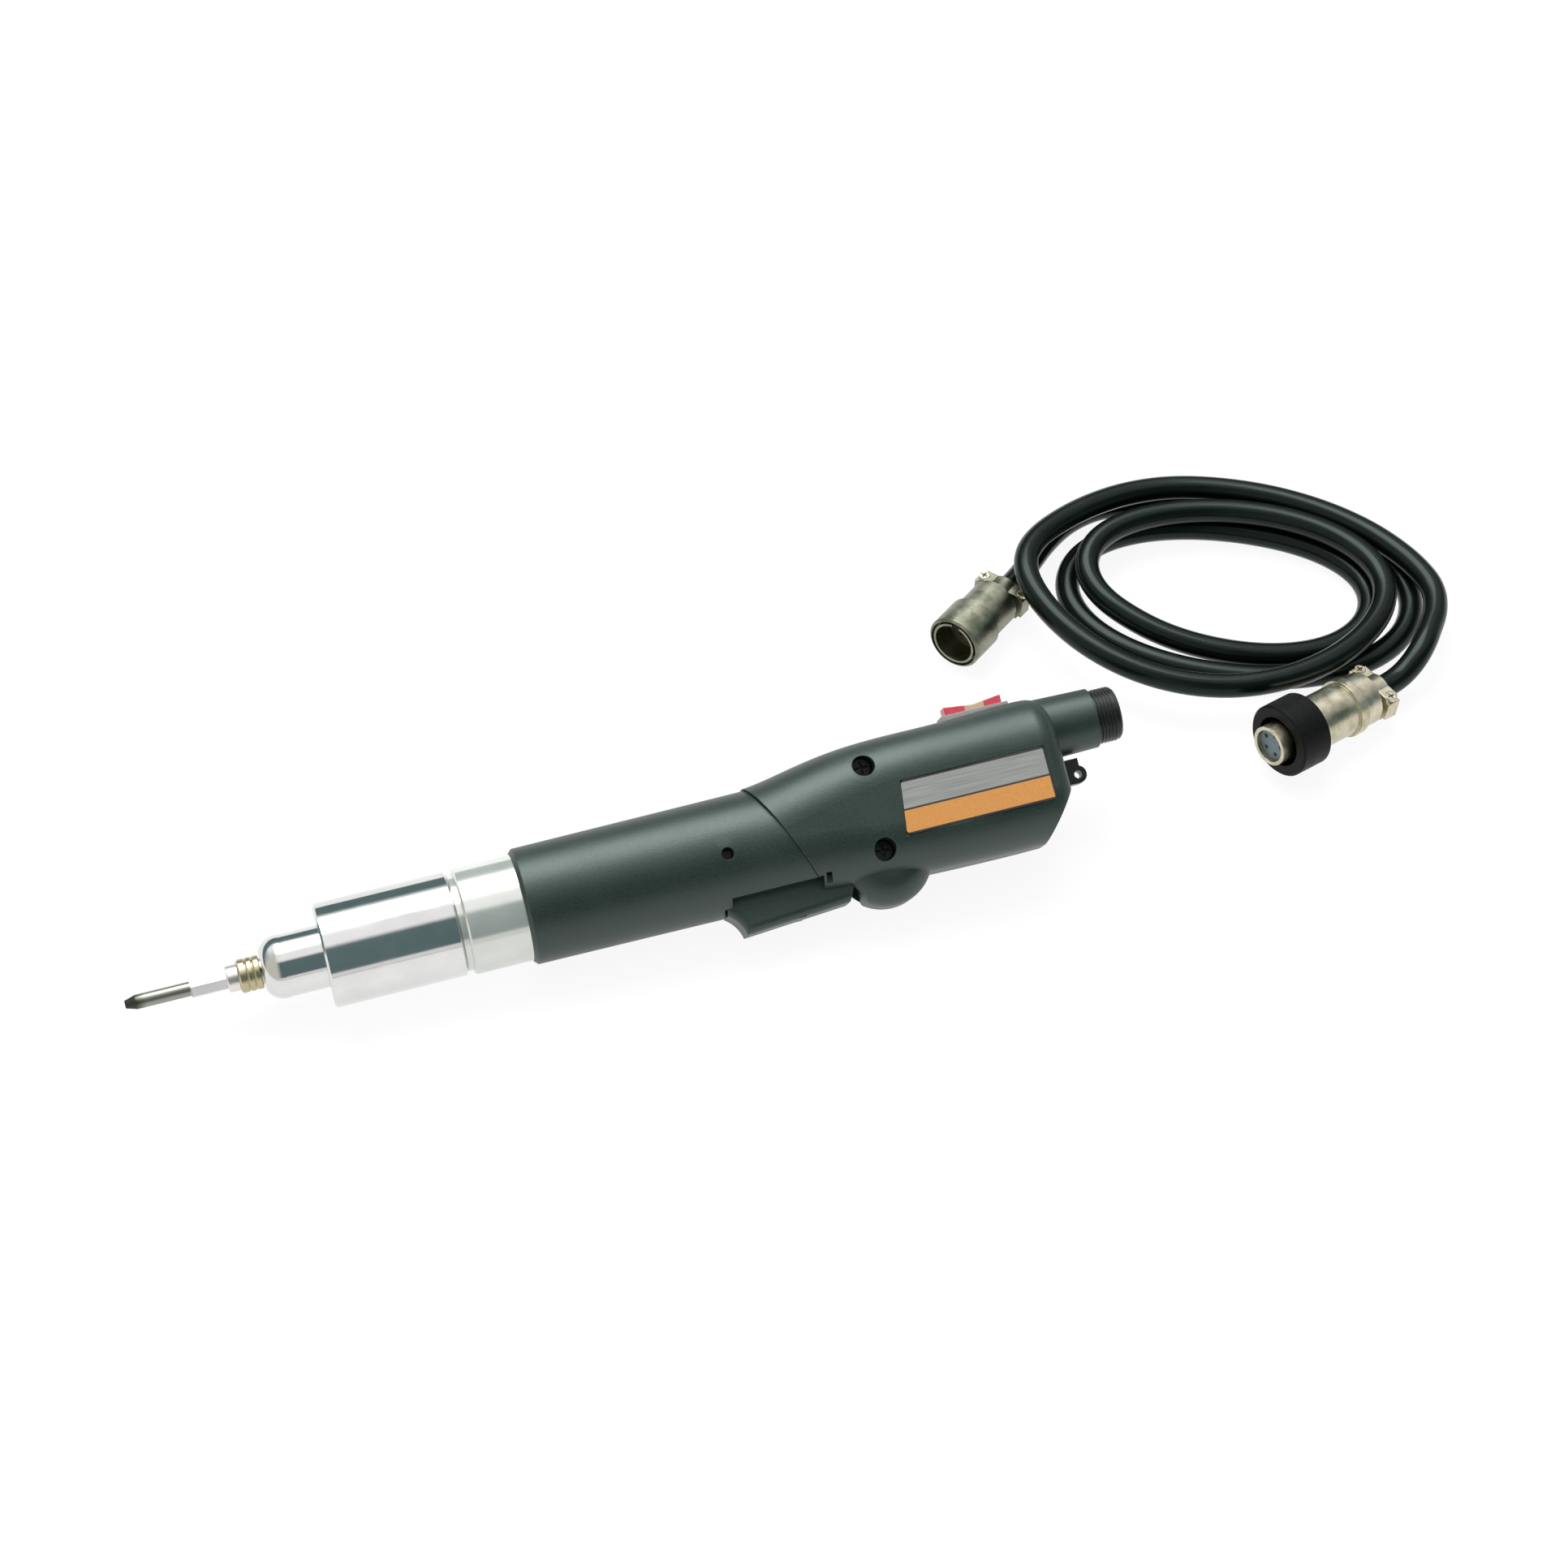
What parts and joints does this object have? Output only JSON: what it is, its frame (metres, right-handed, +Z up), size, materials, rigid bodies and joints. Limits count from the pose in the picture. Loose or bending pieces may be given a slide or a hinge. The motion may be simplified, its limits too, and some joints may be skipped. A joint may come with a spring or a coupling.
{
  "type": "electric screwdriver",
  "caption": "Inline electric screwdriver lying on its side: lever start, planetary drive, adjustable clutch nose, quick-change bit holder, and its detached coiled cable.",
  "frame": {"origin": "centre of the lying tool's footprint, on the floor", "axes": "+X runs along the tool from the bit to the connector, +Z is up, and the label side faces -Y"},
  "size_m": [0.4063, 0.1397, 0.0429],
  "materials": {
    "housing_plastic": "fine speckled texture",
    "chromed_steel": "polished plating",
    "tool_steel": "ground",
    "brass": "turned",
    "spring_steel": "drawn wire",
    "bronze": "sintered",
    "black_plastic": "moulded",
    "black_metal": "satin black",
    "nickel": "satin nickel plate",
    "insulator": "moulded",
    "copper": "enamelled winding",
    "magnet": "sintered ferrite",
    "carbon": "pressed carbon",
    "board": "laminate",
    "label": "printed film left bare",
    "rocker_red": "moulded",
    "pale_plastic": "moulded",
    "cord_rubber": "semi-gloss sheath"
  },
  "bodies": {
    "body": {"nose_cap": "chromed_steel", "front_bush": "bronze", "rear_bush": "bronze", "clutch_housing": "tool_steel", "clutch_spring": "spring_steel", "thrust_washer": "tool_steel", "clutch_balls": "tool_steel", "gear_housing": "chromed_steel", "ring_gear": "tool_steel", "motor_can": "nickel", "motor_magnets": "magnet", "motor_bearings": "tool_steel", "carbon_brushes": "carbon", "brush_plate": "black_plastic", "front_grip": "housing_plastic", "rear_housing_left": "housing_plastic", "rear_housing_right": "housing_plastic", "housing_screws": "tool_steel", "label_plate": "label", "lever_pivot_pin": "tool_steel", "start_switch": "black_plastic", "direction_switch": "pale_plastic", "circuit_board": "board", "connector_shell": "black_metal", "connector_insert": "black_plastic", "connector_pins": "brass", "hanger_eye": "black_metal", "cable_lead_a": "cord_rubber", "cable_coil": "cord_rubber", "cable_lead_b": "cord_rubber", "plug_a_shell": "nickel", "plug_a_sleeve": "nickel", "plug_a_insert": "black_plastic", "plug_a_clamp": "nickel", "plug_b_shell": "nickel", "plug_b_insert": "insulator", "plug_b_clamp": "nickel", "clamp_screws": "tool_steel"},
    "torque_ring": {"torque_ring": "chromed_steel"},
    "adjuster_nut": {"adjuster_nut": "brass"},
    "spindle": {"spindle": "tool_steel", "screwdriver_bit": "tool_steel", "retaining_balls": "tool_steel", "sleeve_snap_ring": "spring_steel", "planet_carrier": "tool_steel"},
    "bit_sleeve": {"bit_sleeve": "brass", "sleeve_spring": "spring_steel"},
    "planet_1": {"planet_gear_1": "tool_steel"},
    "planet_2": {"planet_gear_2": "tool_steel"},
    "planet_3": {"planet_gear_3": "tool_steel"},
    "rotor": {"motor_shaft": "tool_steel", "sun_pinion": "tool_steel", "armature_core": "spring_steel", "armature_winding": "copper", "commutator": "copper"},
    "trigger": {"trigger_lever": "housing_plastic", "lever_spring": "spring_steel"},
    "plunger": {"switch_plunger": "pale_plastic"},
    "rocker": {"direction_rocker": "rocker_red"},
    "plug_b_ring": {"plug_b_ring": "black_metal"}
  },
  "joints": [
    {"name": "rotor_spin", "type": "hinge", "parent": "body", "child": "rotor", "pos_m": [-0.03317, 0.00017, 0.01648], "axis": [0.9995, 0, 0.0312], "continuous": true},
    {"name": "spindle_spin", "type": "hinge", "parent": "body", "child": "spindle", "pos_m": [-0.10564, 0.00017, 0.01422], "axis": [0.9995, 0, 0.0312], "continuous": true},
    {"name": "planet_1_spin", "type": "hinge", "parent": "spindle", "child": "planet_1", "pos_m": [-0.05258, 0.00335, 0.01078], "axis": [0.9995, 0, 0.0312], "continuous": true},
    {"name": "planet_2_spin", "type": "hinge", "parent": "spindle", "child": "planet_2", "pos_m": [-0.05291, 0.00299, 0.02116], "axis": [0.9995, 0, 0.0312], "continuous": true},
    {"name": "planet_3_spin", "type": "hinge", "parent": "spindle", "child": "planet_3", "pos_m": [-0.05273, -0.00583, 0.01566], "axis": [0.9995, 0, 0.0312], "continuous": true},
    {"name": "torque_ring_turn", "type": "hinge", "parent": "body", "child": "torque_ring", "pos_m": [-0.08865, 0.00017, 0.01475], "axis": [0.9995, 0, 0.0312], "range_deg": [0, 720]},
    {"name": "adjuster_slide", "type": "slide", "parent": "body", "child": "adjuster_nut", "axis": [0.9995, 0, 0.0312], "range_m": [0, 0.004], "deforming": ["clutch_spring"]},
    {"name": "bit_sleeve_slide", "type": "slide", "parent": "spindle", "child": "bit_sleeve", "axis": [-0.9995, 0, -0.0312], "range_m": [0, 0.002], "stiffness_N_per_m": 400, "springref_m": -0.002, "deforming": ["sleeve_spring"]},
    {"name": "trigger_press", "type": "hinge", "parent": "body", "child": "trigger", "pos_m": [0.05646, -0.01001, 0.01291], "axis": [0.0265, 0.5299, -0.8476], "range_deg": [0, 6], "stiffness_Nm_per_rad": 0.15, "springref_deg": -17.19, "deforming": ["lever_spring"]},
    {"name": "plunger_slide", "type": "slide", "parent": "body", "child": "plunger", "axis": [-0.0165, 0.848, 0.5297], "range_m": [0, 0.00162]},
    {"name": "rocker_tilt", "type": "hinge", "parent": "body", "child": "rocker", "pos_m": [0.10316, 0.01917, 0.03261], "axis": [0.0265, 0.5299, -0.8476], "range_deg": [-7, 7]},
    {"name": "plug_b_ring_turn", "type": "hinge", "parent": "body", "child": "plug_b_ring", "pos_m": [0.20073, 0.00549, 0.01109], "axis": [-0.9262, -0.3555, 0.1258], "continuous": true}
  ],
  "couplings": [
    {"joint": "spindle_spin", "follows": "rotor_spin", "ratio": 0.25},
    {"joint": "planet_1_spin", "follows": "rotor_spin", "ratio": -0.75},
    {"joint": "planet_2_spin", "follows": "rotor_spin", "ratio": -0.75},
    {"joint": "planet_3_spin", "follows": "rotor_spin", "ratio": -0.75},
    {"joint": "adjuster_slide", "follows": "torque_ring_turn", "m_per_rad": 0.00031831},
    {"joint": "plunger_slide", "follows": "trigger_press", "m_per_rad": 0.0155}
  ]
}
